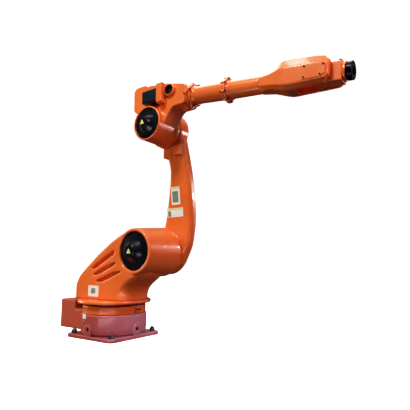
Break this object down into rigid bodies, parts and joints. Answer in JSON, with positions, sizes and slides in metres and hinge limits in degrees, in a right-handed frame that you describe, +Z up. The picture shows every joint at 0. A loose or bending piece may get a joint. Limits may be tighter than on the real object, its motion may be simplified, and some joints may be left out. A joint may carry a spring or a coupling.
{
  "type": "industrial robot arm",
  "caption": "Floor-mounted six-axis robot arm: a swivelling turret carries a bowed lower arm, an elbow, and a long slim forearm with a wrist and a black tool flange.",
  "frame": {"origin": "centre of the base plate's underside, on the slewing axis", "axes": "+Z up along the slewing axis, +X towards the tool, +Y towards the side that carries the lower arm"},
  "size_m": [2.366, 0.563, 1.921],
  "materials": {
    "arm_paint": "glossy orange paint",
    "base_paint": "dull rose-brown paint",
    "box_paint": "dull orange-brown paint",
    "bearing_steel": "ground dark steel",
    "panel_steel": "grey paint",
    "socket_alloy": "die-cast",
    "black_plastic": "glossy black plastic",
    "motor_black": "satin black paint",
    "flange_black": "black oxide"
  },
  "bodies": {
    "base": {"base_plate": "base_paint", "base_casting": "base_paint", "fixed_ring": "arm_paint", "slewing_bearing": "bearing_steel", "base_lugs": "base_paint", "connector_box": "box_paint", "connector_panel": "panel_steel", "connector_sockets": "socket_alloy"},
    "turret": {"turret_lip": "arm_paint", "turret_casting": "arm_paint", "shoulder_motor_cover": "black_plastic"},
    "lower_arm": {"lower_arm": "arm_paint", "shoulder_spigot": "bearing_steel", "elbow_spigot": "bearing_steel"},
    "elbow": {"elbow_casting": "arm_paint", "elbow_motor_cover": "black_plastic", "rear_cover": "arm_paint", "wrist_motor": "motor_black", "motor_mount": "arm_paint", "cable_bushing": "arm_paint", "elbow_nose_ring": "arm_paint"},
    "forearm": {"forearm_bearing": "bearing_steel", "forearm_flange": "arm_paint", "rear_tube": "arm_paint", "joint_flange_rear": "arm_paint", "joint_flange_front": "arm_paint", "front_tube": "arm_paint", "wrist_housing": "arm_paint", "wrist_side_cover_right": "arm_paint", "wrist_side_cover_left": "arm_paint", "wrist_bottom_cover": "arm_paint"},
    "wrist": {"wrist_tilt_body": "arm_paint", "wrist_nose": "arm_paint"},
    "tool": {"tool_flange": "flange_black"}
  },
  "joints": [
    {"name": "slew", "type": "hinge", "parent": "base", "child": "turret", "pos_m": [0, 0, 0.248], "axis": [0, 0, 1], "range_deg": [-180, 180]},
    {"name": "shoulder", "type": "hinge", "parent": "turret", "child": "lower_arm", "pos_m": [0.336, 0, 0.628], "axis": [0, 1, 0], "range_deg": [-65, 75]},
    {"name": "elbow", "type": "hinge", "parent": "lower_arm", "child": "elbow", "pos_m": [0.418, 0, 1.56], "axis": [0, -1, 0], "range_deg": [-75, 150]},
    {"name": "forearm_roll", "type": "hinge", "parent": "elbow", "child": "forearm", "pos_m": [0.76055, 0, 1.72466], "axis": [0.9932, 0, -0.1167], "range_deg": [-350, 350]},
    {"name": "wrist_tilt", "type": "hinge", "parent": "forearm", "child": "wrist", "pos_m": [1.67824, 0, 1.61685], "axis": [0, 1, 0], "range_deg": [-120, 120]},
    {"name": "tool_roll", "type": "hinge", "parent": "wrist", "child": "tool", "pos_m": [1.86496, 0, 1.59492], "axis": [0.9932, 0, -0.1167], "range_deg": [-360, 360]}
  ]
}
